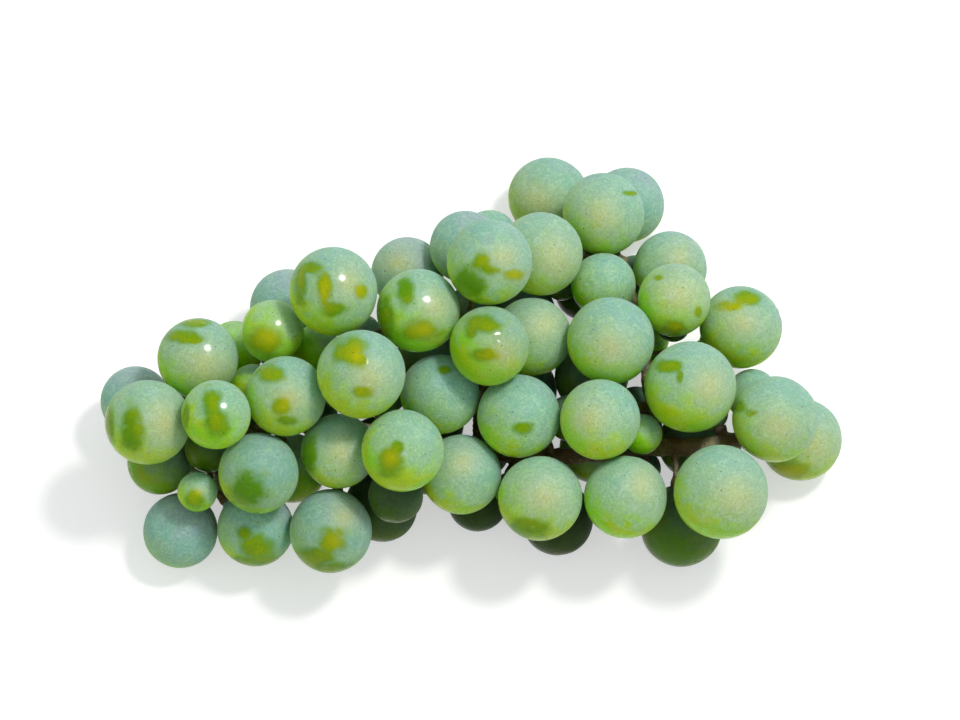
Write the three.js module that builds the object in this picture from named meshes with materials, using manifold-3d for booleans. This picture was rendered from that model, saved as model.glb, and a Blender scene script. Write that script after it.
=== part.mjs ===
// A bunch of white grapes, cut with a very short stalk and laid on its side on a table.
// Millimetres, +Z up, origin on the table under the middle of the bunch. The stalk end is at +X.
// The bunch has its own directions too: along the main stem, across it, and up through its thickness.
import * as THREE from 'three';
import { mergeVertices } from 'three/addons/utils/BufferGeometryUtils.js';
import Module from 'manifold-3d';

const wasm = await Module();
wasm.setup();

// Driving dimensions.
const LEAN = THREE.MathUtils.degToRad(20); // the shoulder side lies propped up by this much
const HEART_HEIGHT = 19.5; // the middle of the bunch above the table
const SKIN_GAP = 0.35; // between neighbouring berries, and between a berry and a stem
const PRESSED_FLAT = 0.3; // how deep the table flattens a berry that rests on it
const BERRY_DETAIL = 2;
const MAIN_STEM_RADIUS = 2;
const MAIN_STEM_TIP_RADIUS = 1;
const WING_STEM_RADIUS = 1.4;
const WING_STEM_TIP_RADIUS = 0.9;
const THICKEST_BRANCH_RADIUS = 1.3;
const PEDICEL_RADIUS = 0.6;
const CUSHION_RADIUS = 1.4; // the pedicel's flared end, which the berry sits on
const NECK_LENGTH = 2.4; // from the cushion to where the pedicel has its own thickness

// The bunch's own directions, once it lies on the table.
const ALONG = new THREE.Vector3(1, 0, 0);
const ACROSS = new THREE.Vector3(0, Math.cos(LEAN), Math.sin(LEAN));
const UPWARD = new THREE.Vector3(0, -Math.sin(LEAN), Math.cos(LEAN));

// The point that is this far along, across and up through the bunch.
function lay(along, across, up) {
  const point = new THREE.Vector3(0, 0, HEART_HEIGHT);
  point.addScaledVector(ALONG, along);
  point.addScaledVector(ACROSS, across);
  return point.addScaledVector(UPWARD, up);
}

// Each cluster's berries: along, across and up through the bunch, and radius.
// TABLE stands for the height at which a berry rests on the table.
const TABLE = null;
const clusters = {
  stalk_end: [
    [54.5, 6, -2, 8.3],
    [44, -5.5, 12, 9.1],
    [61, -12, 10.5, 8.6],
    [66.5, -16, TABLE, 8.3],
    [57, -7, -3, 5.2],
    [50, -26.5, 15, 9.4],
    [42.5, -33.5, TABLE, 8.2],
    [45, -17, TABLE, 7],
  ],
  shoulder: [
    [16, 33, TABLE, 8.2],
    [27, 29, -7, 8.2],
    [32, 31.5, TABLE, 7.6],
    [40.5, 18.5, -10, 7.4],
    [40.5, 11.5, 5, 7.3],
    [26.5, 15.5, -3, 6.5],
    [28.5, 3.5, 10, 8.7],
    [33, 5, TABLE, 7.5],
  ],
  crown: [
    [4, 19, 16, 8.5],
    [-0.5, 22.5, -2, 7.2],
    [14, 21, 2, 8.4],
    [4, 24.5, -14, 5.7],
    [-12.5, 17.5, -9, 7.3],
    [-10, 9.5, 14, 8.3],
    [3.5, 3, 17, 7.9],
    [12.5, 4.5, 4, 7.9],
  ],
  heart: [
    [-21.5, -3, 22, 8.8],
    [-6, -7, 9, 7.9],
    [26, -11.5, 16, 8],
    [34.5, -15, 7, 4],
    [9.5, -11.5, 12, 8.3],
    [-13.5, -18.5, 19, 8.2],
    [-26.5, -19.5, 10, 7.5],
    [25, -18, TABLE, 7],
    [-22, -4, TABLE, 7.7],
  ],
  flank: [
    [-27, 13.5, 15, 8.8],
    [-37, 10.5, -11, 7.6],
    [-39.5, 5.5, 9, 6.3],
    [-31, 2, 2, 4.9],
    [-37, -8, 15, 8],
    [-43.5, -6, 3, 5],
    [-47.5, 2, -9, 5.8],
    [-54.5, 0, 8, 8.1],
  ],
  tip: [
    [-67.5, -8.5, -6, 7.1],
    [-64, -12.5, 13.5, 8.5],
    [-50.5, -11, 20, 6.9],
    [-42, -22.5, 13, 8],
    [-53, -18, 4, 4.9],
    [-61.5, -21.5, 1, 6.5],
    [-54.5, -26.5, 10, 4],
  ],
  hem: [
    [-58, -33.5, TABLE, 7.5],
    [-43.5, -33.5, 4, 7.7],
    [-27.5, -33, 8, 8.3],
    [-18, -29.5, TABLE, 7.3],
    [-15, -27, 9, 5.5],
    [-1.5, -23, 8, 8],
    [1.5, -28.5, TABLE, 6.1],
    [14, -27.5, 12.5, 8.4],
    [17.5, -32, TABLE, 7.3],
    [31, -27.5, 13, 8.3],
    [-36, -22, TABLE, 7],
  ],
};

// The main stem runs from the cut stalk to the tip. The wing branches off it to the shoulder.
const mainStem = new THREE.CatmullRomCurve3([
  lay(54, -16.5, 1.5),
  lay(46, -17.5, 4),
  lay(36, -17.5, 0.5),
  lay(27, -18.5, 3),
  lay(18, -19.5, 2),
  lay(0, -18.5, -2),
  lay(-18, -14.5, 1),
  lay(-34.5, -13, 2.5),
  lay(-45, -15, 1),
  lay(-52, -19, -3),
]);
const wingStem = new THREE.CatmullRomCurve3([
  lay(38, -17.5, 1),
  lay(36, -6, -1),
  lay(35, 4, -3),
  lay(33, 12, -8),
  lay(30, 20, -15),
]);
const mainStemPoints = mainStem.getSpacedPoints(100);
const wingStemPoints = wingStem.getSpacedPoints(40);

function layOutBerries() {
  const laidOut = [];
  for (const [cluster, rows] of Object.entries(clusters)) {
    rows.forEach(([along, across, up, radius], index) => {
      const home = lay(along, across, up ?? 0);
      const name = `${cluster}_berry_${index + 1}`;
      laidOut.push({ name, radius, home, rests: up === TABLE, centre: home.clone() });
    });
  }
  return laidOut;
}

// Berries give way to each other mostly through the thickness of the bunch.
const SIDEWAYS_SHARE = 0.3;
function shift(berry, push) {
  const upward = push.dot(UPWARD);
  const sideways = push.clone().addScaledVector(UPWARD, -upward);
  berry.centre.addScaledVector(UPWARD, upward);
  berry.centre.addScaledVector(sideways, SIDEWAYS_SHARE);
}

function partBerries(one, other) {
  const apart = one.centre.clone().sub(other.centre);
  const overlap = one.radius + other.radius + SKIN_GAP - apart.length();
  if (overlap > 0) {
    apart.setLength(overlap / 2);
    shift(one, apart);
    shift(other, apart.negate());
  }
}

function partFromStem(berry, stemPoints, stemRadius) {
  for (const point of stemPoints) {
    const away = berry.centre.clone().sub(point);
    const overlap = berry.radius + stemRadius + SKIN_GAP - away.length();
    if (overlap > 0) {
      shift(berry, away.setLength(overlap));
    }
  }
}

// A resting berry slides through the thickness onto the table, and any other is kept above it.
function keepOnTable(berry) {
  const lowest = berry.rests ? berry.radius - PRESSED_FLAT : berry.radius + SKIN_GAP;
  const rise = lowest - berry.centre.z;
  if (berry.rests || rise > 0) {
    berry.centre.addScaledVector(UPWARD, rise / UPWARD.z);
  }
}

// The berries push each other and the stems' places free. At first each is also drawn home.
const SETTLE_PASSES = 1500;
const HOMING_PASSES = 900;
const HOMING = 0.02;
function settle(settling) {
  for (let pass = 0; pass < SETTLE_PASSES; pass++) {
    settling.forEach((berry, index) => {
      settling.slice(index + 1).forEach((other) => partBerries(berry, other));
      partFromStem(berry, mainStemPoints, MAIN_STEM_RADIUS);
      partFromStem(berry, wingStemPoints, WING_STEM_RADIUS);
      if (pass < HOMING_PASSES) {
        berry.centre.lerp(berry.home, HOMING);
      }
      keepOnTable(berry);
    });
  }
}

const berries = layOutBerries();
settle(berries);

// How far a point is from the nearest skin of these berries, and from the table.
function roomAt(point, around) {
  let room = point.z;
  for (const { centre, radius } of around) {
    room = Math.min(room, point.distanceTo(centre) - radius);
  }
  return room;
}

// A lattice of points through the bunch, and the room at each. Its outermost layer has none.
const CELL = 1.25;
const MARGIN = 3 * CELL;
function makeLattice() {
  const box = new THREE.Box3().setFromPoints(berries.map((berry) => berry.centre));
  box.expandByScalar(MARGIN);
  const last = box.getSize(new THREE.Vector3()).divideScalar(CELL).ceil();
  const strides = new THREE.Vector3(1, last.x + 1, (last.x + 1) * (last.y + 1));
  const points = [];
  const room = [];
  for (let z = 0; z <= last.z; z++) {
    for (let y = 0; y <= last.y; y++) {
      for (let x = 0; x <= last.x; x++) {
        const point = new THREE.Vector3(x, y, z).multiplyScalar(CELL).add(box.min);
        const outermost = x * y * z === 0 || x === last.x || y === last.y || z === last.z;
        points.push(point);
        room.push(outermost ? 0 : roomAt(point, berries));
      }
    }
  }
  const cellAt = (point) => point.clone().sub(box.min).divideScalar(CELL).round().dot(strides);
  return { points, room, strides, cellAt };
}

// The ways from one lattice point to the 26 around it.
function waysOn(strides) {
  const ways = [];
  for (const x of [-1, 0, 1]) {
    for (const y of [-1, 0, 1]) {
      for (const z of [-1, 0, 1]) {
        const way = new THREE.Vector3(x, y, z);
        ways.push({ stride: way.dot(strides), length: way.length() * CELL });
      }
    }
  }
  return ways.filter(({ length }) => length > 0);
}

// Finds the easiest ways back to the stems from the lattice points that a pedicel fits through.
// A narrow place makes a way longer, so that branches take the widest ways between the berries.
const PASSABLE = PEDICEL_RADIUS + SKIN_GAP;
const NARROWNESS = 6;
function spreadWaysBack({ room, strides }, { cost, next }, from) {
  const ways = waysOn(strides);
  let front = from;
  while (front.length > 0) {
    const reached = new Set();
    for (const cell of front) {
      for (const { stride, length } of ways) {
        const further = cell + stride;
        const sum = cost[cell] + length * (1 + NARROWNESS / room[further] ** 2);
        if (room[further] > PASSABLE && sum < cost[further]) {
          cost[further] = sum;
          next[further] = cell;
          reached.add(further);
        }
      }
    }
    front = [...reached];
  }
}

function waysBackToStems(lattice) {
  const cost = new Array(lattice.points.length).fill(Infinity);
  const next = new Array(lattice.points.length).fill(null);
  const stemCells = [...mainStemPoints, ...wingStemPoints].map(lattice.cellAt);
  for (const cell of stemCells) {
    cost[cell] = 0;
  }
  spreadWaysBack(lattice, { cost, next }, stemCells);
  return { cost, next };
}

// The lattice point where a berry's pedicel starts: near its skin, with room for the cushion there.
const CUSHION_ROOM = CUSHION_RADIUS + SKIN_GAP;
function findDoor(berry, { points }, { cost }) {
  const others = berries.filter((other) => other !== berry);
  let door = null;
  points.forEach((point, cell) => {
    const fromSkin = point.distanceTo(berry.centre) - berry.radius;
    const near = fromSkin > NECK_LENGTH && fromSkin < NECK_LENGTH + CELL;
    if (near && cost[cell] < (cost[door] ?? Infinity)) {
      const cushion = point.clone().sub(berry.centre).setLength(berry.radius + SKIN_GAP + 1);
      if (roomAt(cushion.add(berry.centre), others) > CUSHION_ROOM) {
        door = cell;
      }
    }
  });
  return door;
}

function nearestOn(stemPoints, point) {
  const distances = stemPoints.map((stemPoint) => stemPoint.distanceTo(point));
  return stemPoints[distances.indexOf(Math.min(...distances))];
}

// The farthest berries grow their branches first, and the others use them where they can,
// because a way along a branch that is already there counts for less.
const SHARED_WAY = 0.35;
function growBranches(lattice) {
  const waysBack = waysBackToStems(lattice);
  const { cost, next } = waysBack;
  const doorOf = (berry) => findDoor(berry, lattice, waysBack);
  const farness = new Map(berries.map((berry) => [berry, cost[doorOf(berry)]]));
  const grown = new Set();
  for (const berry of [...berries].sort((one, other) => farness.get(other) - farness.get(one))) {
    berry.door = doorOf(berry);
    const branch = [];
    for (let cell = berry.door; cell !== null && !grown.has(cell); cell = next[cell]) {
      grown.add(cell);
      branch.unshift({ cell, step: cost[cell] - (cost[next[cell]] ?? 0) });
    }
    for (const { cell, step } of branch) {
      cost[cell] = (cost[next[cell]] ?? 0) + SHARED_WAY * step;
    }
    spreadWaysBack(lattice, waysBack, branch.map(({ cell }) => cell));
  }
  return waysBack;
}

// The tree of branches: each twig point knows the next one towards the stems, and its load,
// which is how many berries hang on it.
function growTwigs() {
  const lattice = makeLattice();
  const { next } = growBranches(lattice);
  const stemPoints = [...mainStemPoints, ...wingStemPoints];
  const twigs = new Map();
  for (const berry of berries) {
    berry.pedicel = lattice.points[berry.door].clone().sub(berry.centre).normalize();
    const end = berry.pedicel.clone().multiplyScalar(berry.radius + SKIN_GAP).add(berry.centre);
    let outer = { point: end, load: 1, fixed: true, before: [], berry };
    twigs.set(berry, outer);
    for (let cell = berry.door; cell !== null; cell = next[cell]) {
      if (!twigs.has(cell)) {
        const root = next[cell] === null;
        const point = root ? nearestOn(stemPoints, lattice.points[cell]) : lattice.points[cell];
        const fixed = root || cell === berry.door;
        twigs.set(cell, { point: point.clone(), load: 0, fixed, before: [] });
      }
      const twig = twigs.get(cell);
      twig.load += 1;
      outer.next = twig;
      if (!twig.before.includes(outer)) {
        twig.before.push(outer);
      }
      outer = twig;
    }
  }
  return [...twigs.values()];
}

// What a branch with this load would measure with all the room it wants.
function grownRadius(load) {
  return Math.min(PEDICEL_RADIUS * Math.cbrt(load), THICKEST_BRANCH_RADIUS);
}

// Draws the twigs straight, as far as the berries round them allow.
const STRAIGHTENING_PASSES = 60;
function straightenTwigs(twigs) {
  for (let pass = 0; pass < STRAIGHTENING_PASSES; pass++) {
    for (const twig of twigs.filter(({ fixed }) => !fixed)) {
      const middle = new THREE.Vector3();
      for (const { point } of twig.before) {
        middle.addScaledVector(point, 0.5 / twig.before.length);
      }
      middle.addScaledVector(twig.next.point, 0.5);
      twig.point.lerp(middle, 0.5);
      for (const { centre, radius } of berries) {
        const away = twig.point.clone().sub(centre);
        const lack = radius + grownRadius(twig.load) + SKIN_GAP - away.length();
        if (lack > 0) {
          twig.point.add(away.setLength(lack / 2));
        }
      }
    }
  }
}

// The solid that a closed geometry bounds, and back.
function toSolid(geometry) {
  const bare = new THREE.BufferGeometry();
  bare.setAttribute('position', geometry.attributes.position);
  bare.setIndex(geometry.index);
  const merged = mergeVertices(bare, 1e-4);
  const vertProperties = new Float32Array(merged.attributes.position.array);
  const triVerts = new Uint32Array(merged.index.array);
  return new wasm.Manifold(new wasm.Mesh({ numProp: 3, vertProperties, triVerts }));
}

function toGeometry(solid) {
  const { vertProperties, triVerts } = solid.getMesh();
  const geometry = new THREE.BufferGeometry();
  geometry.setAttribute('position', new THREE.BufferAttribute(vertProperties, 3));
  geometry.setIndex(new THREE.BufferAttribute(triVerts, 1));
  geometry.computeVertexNormals();
  return geometry;
}

// A cylinder bent along a curve, with its own radius at each ring.
const RING_SPACING = 2.8;
function bentStem(curve, sides, radiusAt) {
  const rings = Math.max(2, Math.round(curve.getLength() / RING_SPACING));
  const geometry = new THREE.CylinderGeometry(1, 1, 1, sides, rings);
  const { normals, binormals } = curve.computeFrenetFrames(rings);
  const { position } = geometry.attributes;
  const vertex = new THREE.Vector3();
  for (let index = 0; index < position.count; index++) {
    vertex.fromBufferAttribute(position, index);
    const ring = Math.round((vertex.y + 0.5) * rings);
    const middle = curve.getPointAt(ring / rings);
    const radius = radiusAt(middle, ring / rings);
    middle.addScaledVector(normals[ring], vertex.z * radius);
    middle.addScaledVector(binormals[ring], vertex.x * radius);
    position.setXYZ(index, middle.x, middle.y, middle.z);
  }
  return toSolid(geometry);
}

const MAIN_STEM_SIDES = 8;
function mainStemSolid() {
  const { lerp } = THREE.MathUtils;
  const radiusAt = (point, part) => lerp(MAIN_STEM_RADIUS, MAIN_STEM_TIP_RADIUS, part);
  return bentStem(mainStem, MAIN_STEM_SIDES, radiusAt);
}

function wingStemSolid() {
  const { lerp } = THREE.MathUtils;
  const radiusAt = (point, part) => lerp(WING_STEM_RADIUS, WING_STEM_TIP_RADIUS, part);
  return bentStem(wingStem, MAIN_STEM_SIDES, radiusAt);
}

// The stretch from a berry or a fork back to the next fork or stem.
const BRANCH_SIDES = 6;
function branchSolid(start) {
  const points = [start.point];
  let twig = start.next;
  while (twig.before.length === 1 && twig.next) {
    points.push(twig.point);
    twig = twig.next;
  }
  points.push(twig.point);
  const others = berries.filter((berry) => berry !== start.berry);
  const radiusAt = (point, part) => {
    if (start.berry && part === 0) {
      return CUSHION_RADIUS;
    }
    return Math.min(grownRadius(start.load), roomAt(point, others) - SKIN_GAP);
  };
  return bentStem(new THREE.CatmullRomCurve3(points), BRANCH_SIDES, radiusAt);
}

// The swelling where branches part.
const KNOT_SWELLING = 1.25;
function knotSolid({ point, load }) {
  const radius = Math.min(grownRadius(load) * KNOT_SWELLING, roomAt(point, berries) - SKIN_GAP);
  const geometry = new THREE.IcosahedronGeometry(radius, 0);
  return toSolid(geometry.translate(point.x, point.y, point.z));
}

// All that is left of a bunch when its berries are picked grew as one piece.
function makeRachis() {
  const twigs = growTwigs();
  straightenTwigs(twigs);
  const isFork = ({ before, next }) => before.length > 1 && next;
  const starts = twigs.filter((twig) => twig.berry || isFork(twig));
  const branches = starts.map(branchSolid);
  const knots = twigs.filter(isFork).map(knotSolid);
  const whole = [...branches, ...knots, wingStemSolid()].reduce(
    (sum, solid) => sum.add(solid),
    mainStemSolid(),
  );
  const bark = new THREE.MeshStandardMaterial({ color: 0x8a8a45, roughness: 0.7, metalness: 0 });
  const mesh = new THREE.Mesh(toGeometry(whole), bark);
  mesh.name = 'rachis';
  return mesh;
}

// A berry with its pole at the pedicel, flattened where it rests on the table.
function makeBerry({ name, radius, centre, rests, pedicel }) {
  const geometry = new THREE.IcosahedronGeometry(radius, BERRY_DETAIL);
  const pole = new THREE.Vector3(0, 0, 1);
  geometry.applyQuaternion(new THREE.Quaternion().setFromUnitVectors(pole, pedicel));
  let solid = toSolid(geometry);
  if (rests) {
    const table = new THREE.BoxGeometry(4 * radius, 4 * radius, 2 * radius);
    solid = solid.subtract(toSolid(table.translate(0, 0, PRESSED_FLAT - 2 * radius)));
  }
  const skin = new THREE.MeshStandardMaterial({ color: 0x9ec08a, roughness: 0.45, metalness: 0 });
  const mesh = new THREE.Mesh(toGeometry(solid), skin);
  mesh.name = name;
  mesh.position.copy(centre);
  return mesh;
}

function makeBunch() {
  const bunch = new THREE.Group();
  bunch.add(makeRachis());
  berries.forEach((berry) => bunch.add(makeBerry(berry)));
  const box = new THREE.Box3().setFromObject(bunch, true);
  const middle = box.getCenter(new THREE.Vector3());
  bunch.position.set(-middle.x, -middle.y, 0);
  bunch.updateMatrixWorld(true);
  return bunch;
}

export default makeBunch();
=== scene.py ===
import math
import bmesh
import bpy
import numpy as np
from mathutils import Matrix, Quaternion, Vector, kdtree


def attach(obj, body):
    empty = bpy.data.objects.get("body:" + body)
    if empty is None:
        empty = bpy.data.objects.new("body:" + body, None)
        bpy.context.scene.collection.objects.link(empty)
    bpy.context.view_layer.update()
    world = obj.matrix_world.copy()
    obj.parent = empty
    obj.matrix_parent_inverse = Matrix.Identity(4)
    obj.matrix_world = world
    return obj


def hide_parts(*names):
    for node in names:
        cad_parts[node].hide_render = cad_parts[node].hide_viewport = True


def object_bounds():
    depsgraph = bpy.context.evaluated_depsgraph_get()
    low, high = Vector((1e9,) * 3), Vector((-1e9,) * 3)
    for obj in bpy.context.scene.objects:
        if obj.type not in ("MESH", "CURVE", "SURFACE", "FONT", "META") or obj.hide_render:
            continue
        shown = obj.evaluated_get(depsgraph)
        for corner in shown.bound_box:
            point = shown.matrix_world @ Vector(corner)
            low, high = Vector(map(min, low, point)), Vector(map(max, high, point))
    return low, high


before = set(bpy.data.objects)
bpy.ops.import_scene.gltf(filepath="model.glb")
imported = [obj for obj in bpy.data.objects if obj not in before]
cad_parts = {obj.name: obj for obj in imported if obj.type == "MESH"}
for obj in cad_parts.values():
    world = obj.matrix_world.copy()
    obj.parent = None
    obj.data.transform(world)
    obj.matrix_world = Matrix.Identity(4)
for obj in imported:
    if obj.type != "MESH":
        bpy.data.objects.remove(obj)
cad_low, cad_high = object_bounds()

# --- Berries -----------------------------------------------------------------------------------
# Round white grapes, 8 to 19 mm across, each hanging on its pedicel. The skin is thin and clear
# over watery flesh, under a pale waxy bloom. Where the table carries a berry, it is pressed flat.


def make(tree, kind, inputs, **settings):
    """Adds a node to a tree, with its settings, and joins or fills its inputs."""
    made = tree.nodes.new(kind)
    for name, value in settings.items():
        setattr(made, name, value)
    for key, value in inputs.items():
        if isinstance(value, bpy.types.NodeSocket):
            tree.links.new(value, made.inputs[key])
        else:
            made.inputs[key].default_value = value
    return made


def reckon(tree, operation, *values):
    """The result of one sum, such as ADD or MULTIPLY."""
    return make(tree, "ShaderNodeMath", dict(enumerate(values)), operation=operation).outputs[0]


def steer(tree, operation, *values):
    """The result of one sum on vectors."""
    made = make(tree, "ShaderNodeVectorMath", dict(enumerate(values)), operation=operation)
    return made.outputs["Value" if operation == "DOT_PRODUCT" else "Vector"]


def multiply(tree, vector, number):
    """A vector or a colour times one number."""
    made = make(tree, "ShaderNodeVectorMath", {0: vector, "Scale": number}, operation="SCALE")
    return made.outputs["Vector"]


def rise(tree, value, low, high, top=1.0):
    """Nothing up to low, then a soft rise to top at high."""
    inputs = {"Value": value, "From Min": low, "From Max": high, "To Max": top}
    return make(tree, "ShaderNodeMapRange", inputs, interpolation_type="SMOOTHSTEP").outputs[0]


def mottle(tree, place, clouds, detail=2.0, roughness=0.5, swirl=0.0):
    """A cloudy pattern from 0 to 1, with this many clouds to the unit of place."""
    inputs = {
        "Vector": place,
        "Scale": clouds,
        "Detail": detail,
        "Roughness": roughness,
        "Distortion": swirl,
    }
    return make(tree, "ShaderNodeTexNoise", inputs).outputs[0]


COLLAR_HEIGHT = 0.00045
# The other sizes are shares of the radius. An edge runs from where a shape begins to where it is
# full, in cosines of the angle from the pedicel.
COLLAR_EDGE = (0.976, 0.997)
SCAR_EDGE = (-0.9965, -0.9985)
SCAR_HEIGHT = 0.014
DIP_EDGE = (-0.965, -0.993)
DIP_DEPTH = 0.016
LUMPS_TO_A_RADIUS = 0.8
RINGS_CROWD_TO_ENDS = 0.34
LOWEST_POINT = (-9.0, -9.0, 0.0)


def berry_tree():
    """Grows one berry round its centre, from the radius, the way to its pedicel and a seed."""
    tree = bpy.data.node_groups.new("grape berry", "GeometryNodeTree")
    for name, kind in [
        ("Radius", "NodeSocketFloat"),
        ("Centre", "NodeSocketVector"),
        ("Pedicel", "NodeSocketVector"),
        ("Lumpiness", "NodeSocketFloat"),
        ("Length", "NodeSocketFloat"),
        ("Seed", "NodeSocketFloat"),
        ("Segments", "NodeSocketInt"),
        ("Rings", "NodeSocketInt"),
    ]:
        tree.interface.new_socket(name, in_out="INPUT", socket_type=kind)
    tree.interface.new_socket("Geometry", in_out="OUTPUT", socket_type="NodeSocketGeometry")
    given = tree.nodes.new("NodeGroupInput").outputs

    # A ball whose rings crowd towards its two ends, where the finest shapes are.
    inputs = {"Segments": given["Segments"], "Rings": given["Rings"], "Radius": 1.0}
    ball = make(tree, "GeometryNodeMeshUVSphere", inputs).outputs[0]
    raw = tree.nodes.new("GeometryNodeInputPosition").outputs[0]
    height = make(tree, "ShaderNodeSeparateXYZ", {0: raw}).outputs[2]
    angle = reckon(tree, "ARCCOSINE", height)
    wave = reckon(tree, "SINE", reckon(tree, "MULTIPLY", angle, 2.0))
    angle = reckon(tree, "MULTIPLY_ADD", wave, -RINGS_CROWD_TO_ENDS, angle)
    around = steer(tree, "NORMALIZE", steer(tree, "MULTIPLY", raw, (1.0, 1.0, 0.0)))
    wide = multiply(tree, around, reckon(tree, "SINE", angle))
    toward = reckon(tree, "COSINE", angle)
    upright = steer(tree, "ADD", wide, make(tree, "ShaderNodeCombineXYZ", {2: toward}).outputs[0])
    inputs = {"Factor": 1.0, "Vector": given["Pedicel"]}
    turn = make(tree, "FunctionNodeAlignRotationToVector", inputs, axis="Z").outputs[0]
    place = make(tree, "FunctionNodeRotateVector", {"Vector": upright, "Rotation": turn}).outputs[0]

    # Slow lumps, a little length, the collar round the pedicel, and the dip with the flower's scar.
    inputs = {"Vector": place, "W": given["Seed"], "Scale": LUMPS_TO_A_RADIUS, "Detail": 1.0}
    lumps = make(tree, "ShaderNodeTexNoise", inputs, noise_dimensions="4D").outputs[0]
    lumps = reckon(tree, "SUBTRACT", lumps, 0.5)
    size = reckon(tree, "MULTIPLY_ADD", lumps, given["Lumpiness"], 1.0)
    stretch = reckon(tree, "MULTIPLY", reckon(tree, "POWER", toward, 2.0), given["Length"])
    collar = reckon(tree, "DIVIDE", COLLAR_HEIGHT, given["Radius"])
    collar = reckon(tree, "MULTIPLY", rise(tree, toward, *COLLAR_EDGE), collar)
    scar = rise(tree, toward, *SCAR_EDGE, SCAR_HEIGHT)
    dip = rise(tree, toward, *DIP_EDGE, -DIP_DEPTH)
    for part in (stretch, collar, scar, dip):
        size = reckon(tree, "ADD", size, part)
    full = multiply(tree, place, reckon(tree, "MULTIPLY", size, given["Radius"]))

    # The table presses flat what would reach below it.
    laid = steer(tree, "MAXIMUM", steer(tree, "ADD", full, given["Centre"]), LOWEST_POINT)
    moved = make(tree, "GeometryNodeSetPosition", {"Geometry": ball, "Position": laid}).outputs[0]
    inputs = {"Geometry": moved, "Name": "toward_pedicel", "Value": toward}
    marked = make(tree, "GeometryNodeStoreNamedAttribute", inputs).outputs[0]
    smooth = make(tree, "GeometryNodeSetShadeSmooth", {"Geometry": marked}).outputs[0]
    whole = make(tree, "GeometryNodeRealizeInstances", {"Geometry": smooth}).outputs[0]
    skinned = make(tree, "GeometryNodeSetMaterial", {"Geometry": whole, "Material": bloomy_skin()})
    ending = tree.nodes.new("NodeGroupOutput")
    tree.links.new(skinned.outputs[0], ending.inputs[0])
    return tree


def colour(red, green, blue):
    """A colour from its shares of 255, as a paint maker's chart gives them."""
    return (*(((share / 255 + 0.055) / 1.055) ** 2.4 for share in (red, green, blue)), 1.0)


def blend(tree, share, one, other, way="MIX"):
    """One colour turned into the other by this share."""
    factor, first_colour, second_colour, mixed_colour = 0, 6, 7, 2
    inputs = {factor: share, first_colour: one, second_colour: other}
    made = make(tree, "ShaderNodeMix", inputs, data_type="RGBA", blend_type=way)
    return made.outputs[mixed_colour]


def stored(tree, name):
    """One of the numbers that a mesh holds for its points."""
    return make(tree, "ShaderNodeAttribute", {}, attribute_name=name).outputs["Fac"]


BLOOM_GREY = colour(154, 182, 184)
BLOOM_BLUE = colour(138, 190, 172)
BLOOM_PALE = colour(156, 197, 150)
BLOOM_GREEN = colour(156, 210, 92)
BLOOM_WHITE = colour(196, 224, 206)
# Painted rim light: the bright green of light shining through the flesh, on the side away from the
# lamp.
PAINTED_RIM_GREEN = colour(150, 218, 0)
PAINTED_RIM_OLIVE = colour(180, 212, 0)
BARE_GREEN = colour(98, 156, 0)
BARE_OLIVE = colour(144, 172, 0)
BARE_GOLD = colour(194, 192, 4)
GLOW = colour(198, 202, 138)
# The dark colour that painted shade multiplies in.
PAINTED_SHADE_COLOUR = colour(78, 88, 50)
SPECK = colour(58, 78, 30)
SCAR = colour(84, 66, 34)
# From the side facing the lamp to the side turned away from it: each colour, and how thin the bloom is,
# with the painted light added, where that colour begins and where it is full. Partly the bloom's own
# colours, partly painted light: bluer where the lamp falls, brighter green away from it.
BLOOM_AND_PAINTED_LIGHT_COLOURS = [
    (BLOOM_BLUE, -1.6, -0.9),
    (BLOOM_PALE, -1.0, -0.2),
    (BLOOM_GREEN, -0.42, 0.35),
]
# Where the painted rim light begins and where it is full.
PAINTED_RIM_EDGE = (-0.08, 0.42)
BLOOM_GONE_EDGE = (0.0, 0.8)
RUBBED_EDGE = (0.2, 0.85)
SCAR_BROWN_EDGE = (-0.9962, -0.9978)
# The way away from the lamp, along which the painted light on each berry brightens and turns green.
AWAY_FROM_LAMP = (-0.45, -0.57, -0.69)
GLOW_STRENGTH = 0.8
FROST_STRENGTH = 0.34
SPECK_STRENGTH = 0.75
BARE_ROUGHNESS = 0.13
BLOOM_ROUGHNESS = 0.45
# The way that the upper side of the bunch faces as it lies, and the way up across that side.
LEAN = math.radians(20)
OUTWARD = Vector((0.0, -math.sin(LEAN), math.cos(LEAN)))
UP_ACROSS = Vector((0.0, math.cos(LEAN), math.sin(LEAN)))


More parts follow.
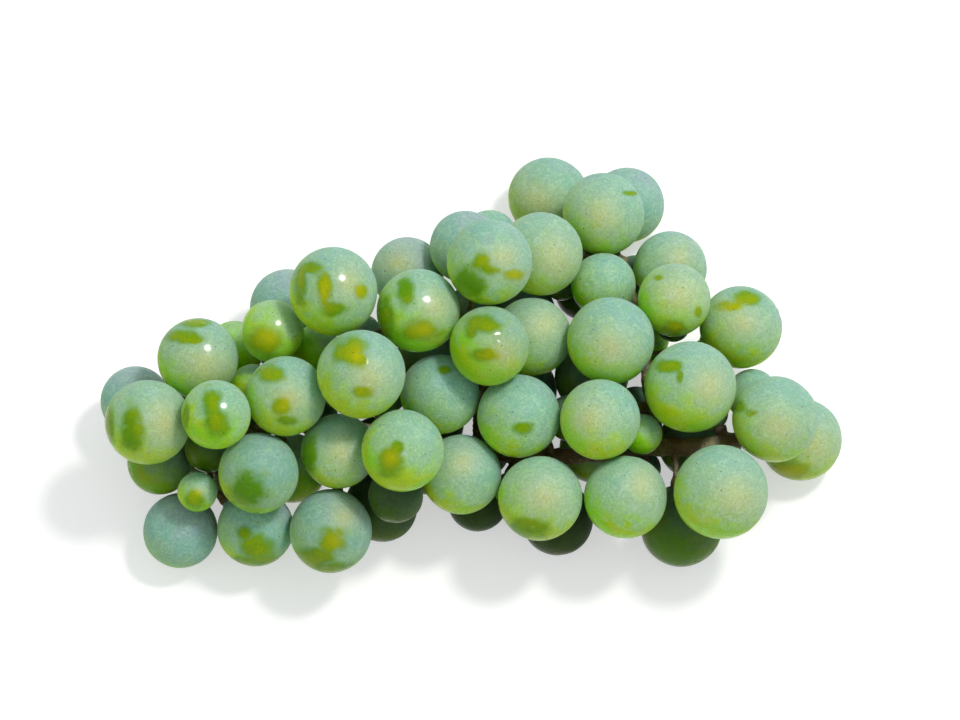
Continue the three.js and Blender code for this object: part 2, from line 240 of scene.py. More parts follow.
def bloomy_skin():
    """Clear yellow-green skin under a dusty bloom, which is gone where the berry was rubbed; its colour
    also holds painted light, glow and shade.
    """
    material = bpy.data.materials.new("bloomy_grape_skin")
    material.use_nodes = True
    tree = material.node_tree
    surface = tree.nodes["Principled BSDF"]
    coordinates = make(tree, "ShaderNodeTexCoord", {}).outputs
    millimetres = multiply(tree, coordinates["Object"], 1000.0)
    clouds = mottle(tree, millimetres, 0.11, detail=3.0)
    blotches = mottle(tree, millimetres, 0.35, detail=4.0, roughness=0.55)
    smears = mottle(tree, millimetres, 0.5, detail=4.0, roughness=0.65, swirl=1.6)
    dust = mottle(tree, millimetres, 2.4, detail=3.0, roughness=0.75)
    uneven = 0.0
    for pattern, strength in ((blotches, 1.5), (smears, 0.8), (dust, 0.45)):
        up_and_down = reckon(tree, "SUBTRACT", pattern, 0.5)
        uneven = reckon(tree, "MULTIPLY_ADD", up_and_down, strength, uneven)

    # The bloom thins all over on a berry whose bloom wore thin, and in noisy patches. To that is added
    # painted light along
    # the way away from the lamp: dusty blue where the lamp falls, through pale green, to a painted rim
    # of bright green light shining through the flesh on the side turned down, forward and away.
    thinness_and_painted_light = steer(tree, "DOT_PRODUCT", coordinates["Normal"], AWAY_FROM_LAMP)
    # The listed wear is added here, partly painted light that brightens some berries.
    thinness_and_painted_light = reckon(tree, "MULTIPLY_ADD", stored(tree, "wear_and_painted_light_share"), 0.9, thinness_and_painted_light)
    thinness_and_painted_light = reckon(tree, "MULTIPLY_ADD", uneven, 0.85, thinness_and_painted_light)
    film = BLOOM_GREY
    for tint, begins, is_full in BLOOM_AND_PAINTED_LIGHT_COLOURS:
        film = blend(tree, rise(tree, thinness_and_painted_light, begins, is_full), film, tint)
    # Painted rim light, olive or green in clouds, on the side turned away from the lamp.
    rim = blend(tree, rise(tree, clouds, 0.4, 0.62), PAINTED_RIM_OLIVE, PAINTED_RIM_GREEN)
    film = blend(tree, rise(tree, thinness_and_painted_light, *PAINTED_RIM_EDGE), film, rim)
    # Painted glow: warm milky light in the flesh, where the glow table says.
    glowing = reckon(tree, "MULTIPLY", stored(tree, "glow"), GLOW_STRENGTH)
    film = blend(tree, glowing, film, GLOW)

    # It is rubbed off in patches: on the upper side where a berry's list says so, and on the side
    # turned down and away in patches of their own.
    downward = steer(tree, "DOT_PRODUCT", coordinates["Normal"], -OUTWARD)
    touches = rise(tree, mottle(tree, millimetres, 0.13, swirl=0.5), 0.56, 0.66)
    touches = reckon(tree, "MULTIPLY", touches, rise(tree, downward, 0.05, 0.25))
    handled = reckon(tree, "MAXIMUM", stored(tree, "rubbed"), touches)
    worn_off = reckon(tree, "MULTIPLY_ADD", uneven, 0.65, handled)
    rubbed = rise(tree, worn_off, *RUBBED_EDGE)
    gone = reckon(tree, "MAXIMUM", rubbed, rise(tree, thinness_and_painted_light, *BLOOM_GONE_EDGE))
    bloom = reckon(tree, "SUBTRACT", 1.0, gone)
    frost = reckon(tree, "MULTIPLY", rise(tree, smears, 0.42, 0.66, FROST_STRENGTH), bloom)
    film = blend(tree, frost, film, BLOOM_WHITE)

    # The bare skin is green, olive where the flesh is riper, and golden under the painted glow where
    # the flesh shows through.
    ripe = rise(tree, clouds, 0.36, 0.56)
    ripe = reckon(tree, "MULTIPLY", ripe, rise(tree, worn_off, 0.4, 1.1))
    skin = blend(tree, ripe, BARE_GREEN, BARE_OLIVE)
    skin = blend(tree, glowing, skin, BARE_GOLD)
    shade = blend(tree, rubbed, film, skin)
    # Painted shade: the berries listed in the painted shade table are darkened.
    shade = blend(tree, stored(tree, "painted_shade_share"), shade, PAINTED_SHADE_COLOUR, "MULTIPLY")
    inputs = {"Value": dust, "From Min": 0.3, "From Max": 0.7, "To Min": 0.8, "To Max": 1.12}
    grain = make(tree, "ShaderNodeMapRange", inputs).outputs[0]
    shade = multiply(tree, shade, grain)
    spots = make(tree, "ShaderNodeTexVoronoi", {"Vector": millimetres, "Scale": 0.5}).outputs
    few = rise(tree, spots["Color"], 0.45, 0.5, SPECK_STRENGTH)
    speck = reckon(tree, "MULTIPLY", rise(tree, spots["Distance"], 0.1, 0.05), few)
    shade = blend(tree, speck, shade, SPECK)
    shade = blend(tree, rise(tree, stored(tree, "toward_pedicel"), *SCAR_BROWN_EDGE), shade, SCAR)
    tree.links.new(shade, surface.inputs["Base Color"])

    # Bloom is dull and faintly grainy. Bare or polished skin is smooth and shines.
    unpolished = reckon(tree, "SUBTRACT", 1.0, stored(tree, "polished"))
    dusty = reckon(tree, "MULTIPLY", bloom, unpolished)
    dull = reckon(tree, "MULTIPLY_ADD", dusty, BLOOM_ROUGHNESS, BARE_ROUGHNESS)
    tree.links.new(reckon(tree, "MULTIPLY_ADD", dust, 0.08, dull), surface.inputs["Roughness"])
    relief = reckon(tree, "MULTIPLY_ADD", blotches, 0.5, dust)
    depth = reckon(tree, "MULTIPLY_ADD", dusty, 0.15, 0.02)
    bump = make(tree, "ShaderNodeBump", {"Height": relief, "Strength": depth, "Distance": 0.0004})
    tree.links.new(bump.outputs[0], surface.inputs["Normal"])
    surface.inputs["IOR"].default_value = 1.4
    surface.inputs["Specular IOR Level"].default_value = 0.17
    surface.inputs["Subsurface Weight"].default_value = 0.8
    surface.inputs["Subsurface Radius"].default_value = (0.8, 1.0, 0.3)
    surface.inputs["Subsurface Scale"].default_value = 0.006
    surface.inputs["Sheen Weight"].default_value = 0.03
    surface.inputs["Sheen Roughness"].default_value = 0.6
    return material


# How far the bloom is thinned all over on some berries, turning them a brighter lime green: partly
# real wear, partly painted light on berries that lie low among their neighbours. Below nothing, it lies
# thicker.
BLOOM_WEAR_AND_PAINTED_LIGHT = {
    "crown_berry_1": -0.15,
    "crown_berry_2": -0.6,
    "crown_berry_5": -0.7,
    "crown_berry_6": 0.25,
    "crown_berry_7": 0.4,
    "flank_berry_2": -0.8,
    "flank_berry_3": 0.7,
    "flank_berry_4": 0.8,
    "flank_berry_6": 0.6,
    "flank_berry_7": 0.9,
    "heart_berry_2": -0.2,
    "heart_berry_3": 0.15,
    "heart_berry_4": 0.5,
    "heart_berry_5": -0.1,
    "heart_berry_6": 0.3,
    "heart_berry_7": -0.1,
    "hem_berry_1": -0.9,
    "hem_berry_2": -0.4,
    "hem_berry_3": -0.4,
    "hem_berry_6": -0.2,
    "hem_berry_8": 0.1,
    "hem_berry_11": 0.6,
    "shoulder_berry_1": -0.1,
    "shoulder_berry_2": -0.1,
    "shoulder_berry_3": -0.35,
    "shoulder_berry_4": -0.2,
    "shoulder_berry_5": 0.3,
    "shoulder_berry_6": 0.15,
    "shoulder_berry_8": 0.8,
    "stalk_end_berry_1": 0.1,
    "stalk_end_berry_2": 0.1,
    "stalk_end_berry_4": 0.2,
    "stalk_end_berry_7": 0.4,
    "tip_berry_1": -0.9,
    "tip_berry_2": 0.1,
    "tip_berry_3": 0.35,
    "tip_berry_4": -0.2,
    "tip_berry_5": 0.5,
    "tip_berry_6": 0.3,
    "tip_berry_7": 0.2,
}
# Painted shade: how far each berry is darkened towards a deep green, for berries that lie in the shade
# of the others.
PAINTED_SHADE = {
    "crown_berry_7": 0.12,
    "flank_berry_4": 0.2,
    "hem_berry_3": 0.1,
    "hem_berry_4": 0.9,
    "hem_berry_5": 0.9,
    "hem_berry_7": 1.0,
    "hem_berry_9": 1.0,
    "stalk_end_berry_7": 0.8,
    "stalk_end_berry_8": 0.6,
    "tip_berry_4": 0.12,
    "tip_berry_5": 0.8,
    "tip_berry_6": 0.5,
}
# Where handling has rubbed the bloom away on the upper side: how far right and up from the
# berry's middle, half the width and half the height, all in radii.
RUBBED = {
    "stalk_end_berry_1": [(0.12, 0.7, 0.34, 0.17), (-0.28, 0.5, 0.3, 0.12)],
    "stalk_end_berry_2": [(-0.5, 0.45, 0.3, 0.14), (-0.25, 0.2, 0.08, 0.14)],
    "stalk_end_berry_3": [(-0.85, 0.3, 0.14, 0.12), (-0.55, 0.15, 0.16, 0.06)],
    "stalk_end_berry_4": [(-0.3, -0.75, 0.5, 0.2)],
    "shoulder_berry_2": [(0.66, 0.5, 0.2, 0.06)],
    "shoulder_berry_3": [(0.15, 0.35, 0.14, 0.05)],
    "shoulder_berry_5": [(0.0, -0.75, 0.28, 0.18), (0.64, -0.35, 0.1, 0.14), (-0.45, 0.6, 0.14, 0.08)],
    "crown_berry_1": [
        (-0.18, 0.0, 0.2, 0.19),
        (0.04, -0.2, 0.24, 0.1),
        (0.59, -0.3, 0.22, 0.13),
        (-0.5, -0.5, 0.4, 0.36),
    ],
    "crown_berry_3": [(-0.62, -0.62, 0.2, 0.14)],
    "crown_berry_6": [(-0.3, 0.44, 0.2, 0.36), (0.05, -0.47, 0.44, 0.24), (-0.8, -0.2, 0.2, 0.5)],
    "crown_berry_7": [(-0.18, 0.54, 0.42, 0.22), (-0.12, -0.24, 0.36, 0.16), (-0.45, 0.36, 0.14, 0.15)],
    "heart_berry_1": [(-0.25, 0.5, 0.4, 0.3), (-0.02, 0.34, 0.18, 0.2), (0.05, -0.4, 0.25, 0.13)],
    "heart_berry_2": [(0.1, 0.62, 0.18, 0.1)],
    "heart_berry_5": [(0.1, -0.3, 0.22, 0.14)],
    "heart_berry_6": [(-0.3, -0.25, 0.3, 0.35), (-0.12, 0.08, 0.16, 0.18)],
    "heart_berry_7": [(-0.75, -0.1, 0.2, 0.5)],
    "flank_berry_1": [
        (-0.72, 0.15, 0.14, 0.4),
        (-0.48, 0.52, 0.26, 0.12),
        (-0.18, 0.05, 0.15, 0.38),
        (0.03, -0.4, 0.28, 0.16),
        (0.62, 0.0, 0.14, 0.18),
    ],
    "flank_berry_3": [(-0.25, -0.3, 0.5, 0.42)],
    "flank_berry_5": [(-0.08, -0.26, 0.22, 0.2), (-0.36, 0.56, 0.34, 0.24), (0.08, -0.6, 0.26, 0.12)],
    "flank_berry_8": [(-0.35, 0.55, 0.44, 0.17), (-0.08, 0.48, 0.28, 0.12), (-0.1, 0.88, 0.4, 0.12)],
    "tip_berry_2": [(-0.33, -0.15, 0.26, 0.5), (-0.93, -0.1, 0.16, 0.5)],
    "tip_berry_3": [(-0.1, 0.28, 0.28, 0.46), (0.05, -0.22, 0.33, 0.4), (-0.85, 0.0, 0.1, 0.4)],
    "tip_berry_4": [(-0.2, -0.45, 0.42, 0.48)],
    "tip_berry_7": [(-0.1, -0.4, 0.5, 0.48)],
    "hem_berry_2": [(0.05, -0.48, 0.46, 0.33), (-0.25, -0.12, 0.18, 0.2), (0.0, -0.9, 0.75, 0.2)],
    "hem_berry_3": [(0.06, -0.22, 0.32, 0.32), (-0.42, -0.62, 0.48, 0.25), (0.0, -0.92, 0.7, 0.18)],
    "hem_berry_8": [(-0.3, -0.7, 0.45, 0.25)],
}
# Where the ripe flesh shows through warm and milky, the same way: the flesh's own tone with a painted
# glow of light in it.
GLOWING = {
    "stalk_end_berry_1": [(0.0, 0.1, 0.4, 0.25), (-0.26, 0.48, 0.3, 0.14)],
    "stalk_end_berry_2": [(0.4, 0.0, 0.3, 0.35)],
    "stalk_end_berry_3": [(0.0, -0.2, 0.4, 0.35)],
    "stalk_end_berry_4": [(0.3, -0.2, 0.4, 0.4), (-0.3, -0.75, 0.4, 0.15)],
    "stalk_end_berry_6": [(0.3, -0.1, 0.4, 0.36)],
    "shoulder_berry_1": [(-0.3, -0.1, 0.4, 0.35)],
    "shoulder_berry_2": [(-0.1, -0.1, 0.36, 0.4)],
    "shoulder_berry_4": [(0.2, 0.25, 0.35, 0.3)],
    "shoulder_berry_5": [(0.1, 0.1, 0.45, 0.45), (0.0, -0.75, 0.2, 0.12)],
    "shoulder_berry_7": [(0.0, -0.2, 0.33, 0.33)],
    "crown_berry_1": [(0.3, 0.1, 0.3, 0.25), (0.59, -0.3, 0.2, 0.12)],
    "crown_berry_3": [(0.3, -0.1, 0.4, 0.45), (-0.62, -0.62, 0.2, 0.12)],
    "crown_berry_5": [(-0.3, 0.25, 0.4, 0.3)],
    "crown_berry_6": [(0.4, 0.1, 0.25, 0.25), (0.1, -0.45, 0.25, 0.14)],
    "crown_berry_7": [(0.3, -0.2, 0.3, 0.3)],
    "crown_berry_8": [(0.3, 0.3, 0.4, 0.35)],
    "heart_berry_1": [(-0.1, 0.4, 0.14, 0.2), (0.2, -0.1, 0.3, 0.3)],
    "heart_berry_3": [(-0.3, 0.0, 0.35, 0.33)],
    "heart_berry_6": [(-0.25, -0.15, 0.15, 0.15)],
    "heart_berry_7": [(0.1, 0.0, 0.3, 0.4)],
    "hem_berry_3": [(0.35, 0.35, 0.25, 0.25), (0.08, -0.2, 0.18, 0.18)],
    "hem_berry_6": [(0.0, 0.3, 0.3, 0.3)],
    "hem_berry_8": [(0.1, 0.05, 0.4, 0.35)],
    "hem_berry_10": [(0.4, 0.3, 0.3, 0.35)],
    "tip_berry_2": [(0.4, 0.0, 0.33, 0.45)],
    "tip_berry_7": [(0.05, 0.0, 0.25, 0.2)],
    "flank_berry_1": [(0.35, 0.2, 0.25, 0.3), (0.6, 0.0, 0.14, 0.16), (-0.18, 0.0, 0.1, 0.25)],
    "flank_berry_3": [(-0.1, -0.2, 0.35, 0.3)],
    "flank_berry_5": [(0.1, -0.05, 0.3, 0.3), (-0.06, -0.26, 0.18, 0.16)],
    "flank_berry_8": [(0.2, -0.15, 0.45, 0.4)],
}
# Berries wiped to a shine where they face the light, the same way.
POLISHED = {
    "crown_berry_6": [(0.2, 0.27, 0.25, 0.25)],
    "crown_berry_7": [(0.2, 0.3, 0.45, 0.4)],
    "flank_berry_1": [(0.2, 0.27, 0.35, 0.35)],
    "flank_berry_3": [(0.2, 0.27, 0.3, 0.3)],
    "flank_berry_8": [(0.2, 0.27, 0.25, 0.25)],
    "tip_berry_3": [(0.2, 0.27, 0.3, 0.3)],
}


PATCH_FADE = 0.6
RUBBED_SHARPNESS = 2.4
GLOW_SHARPNESS = 1.6
POLISHED_SHARPNESS = 2


def patches(places, directions, sharpness):
    """How far each direction from a berry's middle lies inside the patches, from 0 to 1."""
    inside = np.zeros(len(directions))
    right, up, out = (directions @ np.array(axis) for axis in ((1, 0, 0), UP_ACROSS, OUTWARD))
    for across, along, half_width, half_height in places:
        away = np.hypot((right - across) / half_width, (up - along) / half_height)
        inside = np.maximum(inside, np.exp(-PATCH_FADE * away**sharpness) * (out > 0))
    return inside


def give(mesh, name, values):
    """Stores one number for each of a mesh's points, for its material to read."""
    held = mesh.attributes.new(name, "FLOAT", "POINT")
    held.data.foreach_set("value", np.ascontiguousarray(values, dtype=np.float32))


def points_of(mesh):
    """A mesh's points, one to a row."""
    flat = np.empty(len(mesh.vertices) * 3, dtype=np.float32)
    mesh.vertices.foreach_get("co", flat)
    return flat.reshape(-1, 3).astype(float)


def ball_through(points):
    """Centre and radius of the ball that the points lie on."""
    equations = np.c_[2 * points, np.ones(len(points))]
    solved = np.linalg.lstsq(equations, (points**2).sum(1), rcond=None)[0]
    return Vector(solved[:3]), math.sqrt(solved[3] + solved[:3] @ solved[:3])


LUMPINESS = 0.05
LENGTHENING = 0.012


def grow_berry(name, centre, radius, pedicel, seed, segments, rings):
    """Makes one berry with all that its skin shows, as a plain mesh."""
    sizes = {
        "Radius": radius,
        "Centre": centre,
        "Pedicel": pedicel,
        "Lumpiness": LUMPINESS,
        "Length": LENGTHENING + LENGTHENING * math.sin(seed * 2.4),
        "Seed": seed * 1.7,
        "Segments": segments,
        "Rings": rings,
    }
    for what, value in sizes.items():
        growing[socket_of[what]] = value
    mould.update_tag()
    graph = bpy.context.evaluated_depsgraph_get()
    mesh = bpy.data.meshes.new_from_object(mould.evaluated_get(graph))
    mesh.name = name + "_skin"
    directions = (points_of(mesh) - np.array(centre)) / radius
    give(mesh, "rubbed", patches(RUBBED.get(name, []), directions, RUBBED_SHARPNESS))
    give(mesh, "glow", patches(GLOWING.get(name, []), directions, GLOW_SHARPNESS))
    give(mesh, "polished", patches(POLISHED.get(name, []), directions, POLISHED_SHARPNESS))
    give(mesh, "wear_and_painted_light_share", np.full(len(directions), BLOOM_WEAR_AND_PAINTED_LIGHT.get(name, 0.0)))
    give(mesh, "painted_shade_share", np.full(len(directions), PAINTED_SHADE.get(name, 0.0)))
    berry = bpy.data.objects.new(name + "_skin", mesh)
    bpy.context.collection.objects.link(berry)
    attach(berry, "root")
    return berry


OUTER_SEGMENTS = 64
OUTER_RINGS = 56
PRESSED_FLAT_BELOW = 1e-5
CUSHION_REACH = 0.0006
stem_points = np.unique(np.round(points_of(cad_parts["rachis"].data), 6), axis=0)
mould = bpy.data.objects.new("berry_mould", bpy.data.meshes.new("berry_mould"))
bpy.context.collection.objects.link(mould)
growing = mould.modifiers.new("grow", "NODES")
growing.node_group = berry_tree()
socket_of = {
    item.name: item.identifier
    for item in growing.node_group.interface.items_tree
    if item.in_out == "INPUT"
}
berry_names = sorted(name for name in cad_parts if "_berry_" in name)
berries = []
for seed, name in enumerate(berry_names):
    cad_points = points_of(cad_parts[name].data)
    centre, radius = ball_through(cad_points[cad_points[:, 2] > PRESSED_FLAT_BELOW])
    from_centre = stem_points - np.array(centre)
    cushion = from_centre[(from_centre**2).sum(1) < (radius + CUSHION_REACH) ** 2].mean(0)
    pedicel = Vector(cushion).normalized()
    grown = grow_berry(name, centre, radius, pedicel, seed, OUTER_SEGMENTS, OUTER_RINGS)
    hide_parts(name)
    berries.append((np.array(centre), radius))

# --- Berries in the hollows --------------------------------------------------------------------
# Inside the bunch more berries grew into whatever room the outer ones left them. They are of the
# same fruit, mostly smaller and in the shade, darkened with painted shade, and each hangs on a short
# straight pedicel.
PLACE_STEP = 0.0015
HIGHEST = 0.0195
LEAST_RADIUS = 0.003
MOST_RADIUS = 0.0079
LEAST_PEDICEL = 0.0015
MOST_PEDICEL = 0.009
SKIN_GAP = 0.0003
PEDICEL_CLEARANCE = 0.0006
ROOM_ROUND_PEDICEL = 0.0008
POINTS_ALONG_PEDICEL = 8
INNER_PAINTED_SHADE = 0.7
INNER_SEEDS_FROM = 60
INNER_SEGMENTS = 44
INNER_RINGS = 40
# A place is inside where this share of its sides has a berry within this distance, and so has
# each of this many ways round it.
WALLED_SHARE = 0.66
SEEN_THROUGH = 0.03
WAYS_ROUND = 12


def walled_in(places):
    """Of the places, those with berries on most sides, and all round as seen from above."""
    ways = [(x, y, z) for x in (-1, 0, 1) for y in (-1, 0, 1) for z in (-1, 0, 1) if x or y or z]
    ways = np.array(ways, dtype=float)
    ways /= np.linalg.norm(ways, axis=1)[:, None]
    turns = np.linspace(0, math.tau, WAYS_ROUND, endpoint=False)
    round_about = np.outer(np.cos(turns), (1, 0, 0)) + np.outer(np.sin(turns), UP_ACROSS)
    walled = np.zeros((len(places), len(ways)), dtype=bool)
    ringed = np.zeros((len(places), len(turns)), dtype=bool)
    for centre, radius in berries:
        offset = centre - places
        across = offset - np.outer(offset @ np.array(OUTWARD), OUTWARD)
        for away, sides, blocked in ((offset, ways, walled), (across, round_about, ringed)):
            along = away @ sides.T
            aside = (away**2).sum(1)[:, None] - along**2
            blocked |= (along > 0) & (along < SEEN_THROUGH + radius) & (aside < radius**2)
    toward_table = ways[:, 2] < -0.5
    mostly_walled = (walled | toward_table).mean(1) > WALLED_SHARE
    return ringed.all(1) & mostly_walled & (places[:, 2] < HIGHEST)


def clear_way(start, end):
    """Whether a pedicel can run straight from start to end without touching a berry."""
    points = start + (end - start) * np.linspace(0, 1, POINTS_ALONG_PEDICEL)[:, None]
    for centre, radius in berries:
        if np.linalg.norm(points - centre, axis=1).min() <= radius + PEDICEL_CLEARANCE:
            return False
    return True


# Places a step apart through the whole bunch, each with the largest ball that it has room for.
spans = [
    np.arange(low + LEAST_RADIUS, high - LEAST_RADIUS, PLACE_STEP)
    for low, high in zip(cad_low, cad_high)
]
places = np.stack(np.meshgrid(*spans, indexing="ij"), -1).reshape(-1, 3)
room = places[:, 2].copy()
for centre, radius in berries:
    room = np.minimum(room, np.linalg.norm(places - centre, axis=1) - radius)
places, room = places[room > LEAST_RADIUS], room[room > LEAST_RADIUS]
enclosed = walled_in(places)
places, room = places[enclosed], room[enclosed]
stem_finder = kdtree.KDTree(len(stem_points))
for index, point in enumerate(stem_points):
    stem_finder.insert(point, index)
stem_finder.balance()
found = [stem_finder.find(place) for place in places]
stem_near = np.array([point for point, index, distance in found])
stem_away = np.array([distance for point, index, distance in found])

# The largest berry that still has room grows first, then the next, until none has room.
pedicels = []
while True:
    size = np.minimum(np.minimum(room - SKIN_GAP, stem_away - LEAST_PEDICEL), MOST_RADIUS)
    size[stem_away - size > MOST_PEDICEL] = 0
    best = size.argmax()
    if size[best] < LEAST_RADIUS:
        break
    middle, radius, foot = places[best], size[best], stem_near[best]
    pedicel = (foot - middle) / np.linalg.norm(foot - middle)
    if not clear_way(middle + pedicel * radius, foot):
        room[best] = 0
        continue
    name = f"inner_berry_{len(pedicels) + 1}"
    # Each inner berry is darkened with painted shade.
    PAINTED_SHADE[name] = INNER_PAINTED_SHADE
    seed = INNER_SEEDS_FROM + len(pedicels)
    grow_berry(name, Vector(middle), radius, Vector(pedicel), seed, INNER_SEGMENTS, INNER_RINGS)
    pedicels.append((Vector(middle + pedicel * radius), Vector(foot)))
    berries.append((middle, radius))
    room = np.minimum(room, np.linalg.norm(places - middle, axis=1) - radius)
    for share in np.linspace(0, 1, POINTS_ALONG_PEDICEL):
        point = middle + (foot - middle) * share
        room = np.minimum(room, np.linalg.norm(places - point, axis=1) - ROOM_ROUND_PEDICEL)
bpy.data.objects.remove(mould)

# --- Rachis ------------------------------------------------------------------------------------
# The stem of the bunch, grown in one piece and cut off short at the stalk end. It is woody and
# fibrous, olive going brown, and it swells into warty cushions that the berries sit on.
OLIVE_BARK = colour(84, 84, 28)
PALE_BARK = colour(124, 112, 40)
BROWN_BARK = colour(88, 56, 24)
DRY_FIBRE = colour(164, 140, 64)
CORKY_WART = colour(66, 44, 22)


def stem_bark():
    """Matt olive and brown bark with fine dry fibres and corky warts."""
    material = bpy.data.materials.new("stem_bark")
    material.use_nodes = True
    tree = material.node_tree
    surface = tree.nodes["Principled BSDF"]
    place = make(tree, "ShaderNodeTexCoord", {}).outputs["Object"]
    millimetres = multiply(tree, place, 1000.0)
    clouds = mottle(tree, millimetres, 0.09, detail=3.0)
    patchy = mottle(tree, millimetres, 0.8, detail=3.0, roughness=0.6)
    lengthwise = steer(tree, "MULTIPLY", millimetres, (0.35, 1.6, 1.6))
    fibres = mottle(tree, lengthwise, 2.2, detail=3.0, roughness=0.7)
    shade = blend(tree, rise(tree, patchy, 0.35, 0.65), OLIVE_BARK, PALE_BARK)
    shade = blend(tree, rise(tree, clouds, 0.42, 0.6, 0.85), shade, BROWN_BARK)
    shade = blend(tree, rise(tree, fibres, 0.52, 0.78, 0.5), shade, DRY_FIBRE)
    warts = make(tree, "ShaderNodeTexVoronoi", {"Vector": millimetres, "Scale": 1.1})
    wart = rise(tree, warts.outputs["Distance"], 0.22, 0.12)
    shade = blend(tree, reckon(tree, "MULTIPLY", wart, 0.6), shade, CORKY_WART)
    tree.links.new(shade, surface.inputs["Base Color"])
    roughness = reckon(tree, "MULTIPLY_ADD", patchy, 0.25, 0.5)
    tree.links.new(roughness, surface.inputs["Roughness"])
    relief = reckon(tree, "MULTIPLY_ADD", fibres, 0.6, patchy)
    relief = reckon(tree, "MULTIPLY_ADD", wart, 0.6, relief)
    bump = make(tree, "ShaderNodeBump", {"Height": relief, "Strength": 0.8, "Distance": 0.0004})
    tree.links.new(bump.outputs[0], surface.inputs["Normal"])
    surface.inputs["Subsurface Weight"].default_value = 0.15
    surface.inputs["Subsurface Radius"].default_value = (1.0, 0.9, 0.3)
    surface.inputs["Subsurface Scale"].default_value = 0.001
    return material


PEDICEL_RADIUS = 0.0006
PEDICEL_SIDES = 10
RINGS_ALONG_PEDICEL = (0, 0.2, 0.4, 0.6, 0.75, 0.88, 1)
CUSHION_RADIUS = 0.0014
CUSHION_RADII_LONG = 1.4


def pedicel_mesh(top, foot):
    """A thin round stalk from the stem, swelling into the cushion that its berry sits on."""
    made = bmesh.new()
    way = (top - foot).normalized()
    aside = way.orthogonal().normalized()
    length = (top - foot).length + PEDICEL_RADIUS
    rings = []
    for share in RINGS_ALONG_PEDICEL:
        from_foot = share * length / CUSHION_RADIUS
        into_cushion = from_foot - length / CUSHION_RADIUS + CUSHION_RADII_LONG
        swelling = max(0.0, into_cushion) / CUSHION_RADII_LONG
        radius = PEDICEL_RADIUS + (CUSHION_RADIUS - PEDICEL_RADIUS) * swelling**1.5
        ring_middle = foot - way * PEDICEL_RADIUS + way * length * share
        ring = []
        for side in range(PEDICEL_SIDES):
            turn = Quaternion(way, math.tau * side / PEDICEL_SIDES)
            ring.append(made.verts.new(ring_middle + turn @ aside * radius))
        rings.append(ring)
    for lower, upper in zip(rings, rings[1:]):
        for side in range(PEDICEL_SIDES):
            made.faces.new((lower[side - 1], lower[side], upper[side], upper[side - 1]))
    made.faces.new(reversed(rings[0]))
    made.faces.new(rings[-1])
    return made


whole_stem = bmesh.new()
whole_stem.from_mesh(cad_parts["rachis"].data)
for top, foot in pedicels:
    part = bpy.data.meshes.new("pedicel")
    pedicel_mesh(top, foot).to_mesh(part)
    whole_stem.from_mesh(part)
    bpy.data.meshes.remove(part)
stem = bpy.data.objects.new("stem", bpy.data.meshes.new("stem"))
whole_stem.to_mesh(stem.data)
bpy.context.collection.objects.link(stem)
bpy.context.view_layer.objects.active = stem

# All of it grows together at its forks, its bark turns gnarled, and then it is rounded off.
STEM_VOXEL = 0.00033
GNARL_SIZE = 0.0028
GNARL_HEIGHT = 0.0011
GNARLS_OUTWARD = 0.42
stem.modifiers.new("join", "WELD").merge_threshold = 1e-7
remesh = stem.modifiers.new("grow together", "REMESH")
remesh.mode = "VOXEL"
remesh.voxel_size = STEM_VOXEL
remesh.use_smooth_shade = True
gnarls = bpy.data.textures.new("gnarls", "CLOUDS")
gnarls.noise_scale = GNARL_SIZE
gnarls.noise_depth = 2
knotting = stem.modifiers.new("knot", "DISPLACE")
knotting.texture = gnarls
knotting.strength = GNARL_HEIGHT
knotting.mid_level = GNARLS_OUTWARD
smoothing = stem.modifiers.new("round off", "SMOOTH")
smoothing.factor = 0.5
smoothing.iterations = 3
graph = bpy.context.evaluated_depsgraph_get()
stem_mesh = bpy.data.meshes.new_from_object(stem.evaluated_get(graph))
stem.modifiers.clear()
stem.data = stem_mesh
stem_mesh.materials.append(stem_bark())
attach(stem, "root")
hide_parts("rachis")

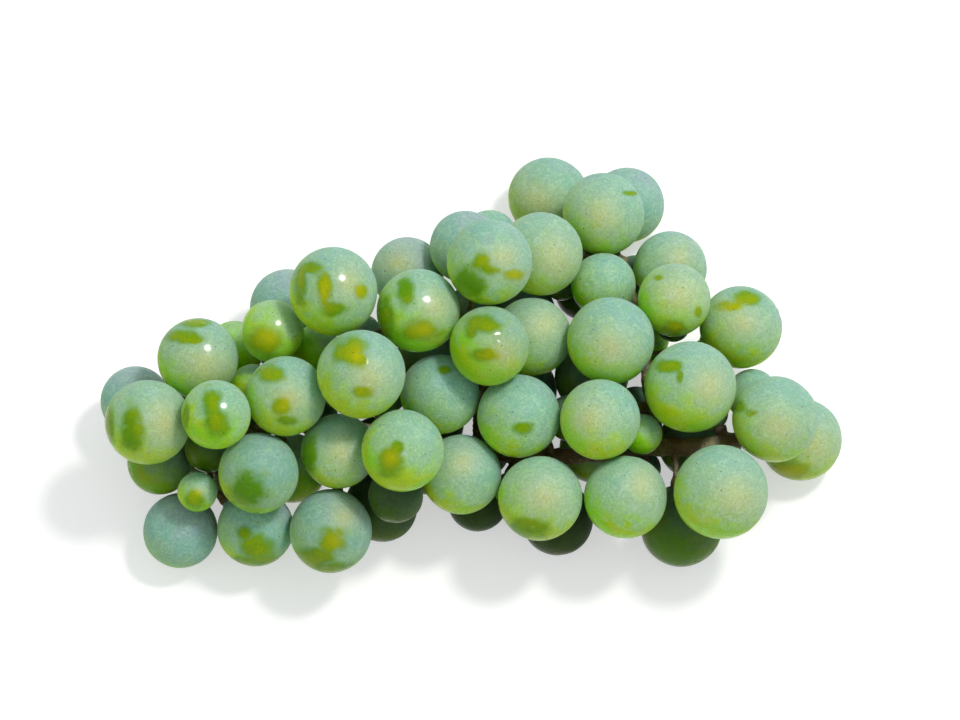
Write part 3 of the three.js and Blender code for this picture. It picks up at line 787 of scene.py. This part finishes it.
# --- Table, light and camera -------------------------------------------------------------------
# A plain pale table top that looks white, a large soft lamp over the stalk end, and an even white
# room. The camera looks steeply down on the bunch, from the front.
TABLE_WIDTH = 6
TABLE_GREY = (0.62, 0.62, 0.62, 1)
TABLE_WHITENING = 0.5
bpy.ops.mesh.primitive_plane_add(size=TABLE_WIDTH)
table = bpy.context.object
table.name = "table"
white = bpy.data.materials.new("white_table")
white.use_nodes = True
white_tree = white.node_tree
white_surface = white_tree.nodes["Principled BSDF"]
white_surface.inputs["Base Color"].default_value = TABLE_GREY
white_surface.inputs["Roughness"].default_value = 0.9
rays = make(white_tree, "ShaderNodeLightPath", {}).outputs
seen = reckon(white_tree, "MAXIMUM", rays["Is Camera Ray"], rays["Is Glossy Ray"])
seen = reckon(white_tree, "MAXIMUM", seen, rays["Is Transmission Ray"])
whitening = reckon(white_tree, "MULTIPLY", seen, TABLE_WHITENING)
white_surface.inputs["Emission Color"].default_value = (1, 1, 1, 1)
white_tree.links.new(whitening, white_surface.inputs["Emission Strength"])
table.data.materials.append(white)

white_room = bpy.data.worlds.new("white_room")
white_room.use_nodes = True
background = white_room.node_tree.nodes["Background"]
background.inputs["Color"].default_value = (0.93, 0.97, 1.0, 1)
background.inputs["Strength"].default_value = 0.57
bpy.context.scene.world = white_room

# Two bulbs in one place: one lights the berries, and a wider one only glints on their skins.
bunch_middle = (cad_low + cad_high) / 2
TOWARD_LAMP = Vector((0.376, 0.216, 0.898)).normalized()
LAMP_DISTANCE = 1.2
lamp = bpy.data.lights.new("soft_lamp", "AREA")
lamp.shape = "DISK"
lamp.size = 0.18
lamp.energy = 7.4
lamp.color = (1.0, 0.97, 0.92)
shine = lamp.copy()
shine.name = "shine_lamp"
shine.energy = 40
shine.size = 0.3
for bulb in (lamp, shine):
    holder = bpy.data.objects.new(bulb.name, bulb)
    holder.location = bunch_middle + TOWARD_LAMP * LAMP_DISTANCE
    holder.rotation_euler = TOWARD_LAMP.to_track_quat("Z", "Y").to_euler()
    holder.visible_diffuse = bulb is lamp
    bpy.context.collection.objects.link(holder)

CAMERA_DISTANCE = 1.6
VIEW_WIDTH = 0.1931
FILM_WIDTH = 36
AIM_RIGHT = 0.0018
AIM_FORWARD = 0.0021
AIM_HEIGHT = 0.0195
camera = bpy.data.cameras.new("camera")
camera.sensor_width = FILM_WIDTH
camera.lens = FILM_WIDTH * CAMERA_DISTANCE / VIEW_WIDTH
camera.clip_end = 20
camera_holder = bpy.data.objects.new("camera", camera)
aim = Vector((bunch_middle.x + AIM_RIGHT, bunch_middle.y - AIM_FORWARD, AIM_HEIGHT))
camera_holder.location = aim + OUTWARD * CAMERA_DISTANCE
camera_holder.rotation_euler = OUTWARD.to_track_quat("Z", "Y").to_euler()
bpy.context.collection.objects.link(camera_holder)
bpy.context.scene.camera = camera_holder
bpy.context.scene.view_settings.view_transform = "Standard"
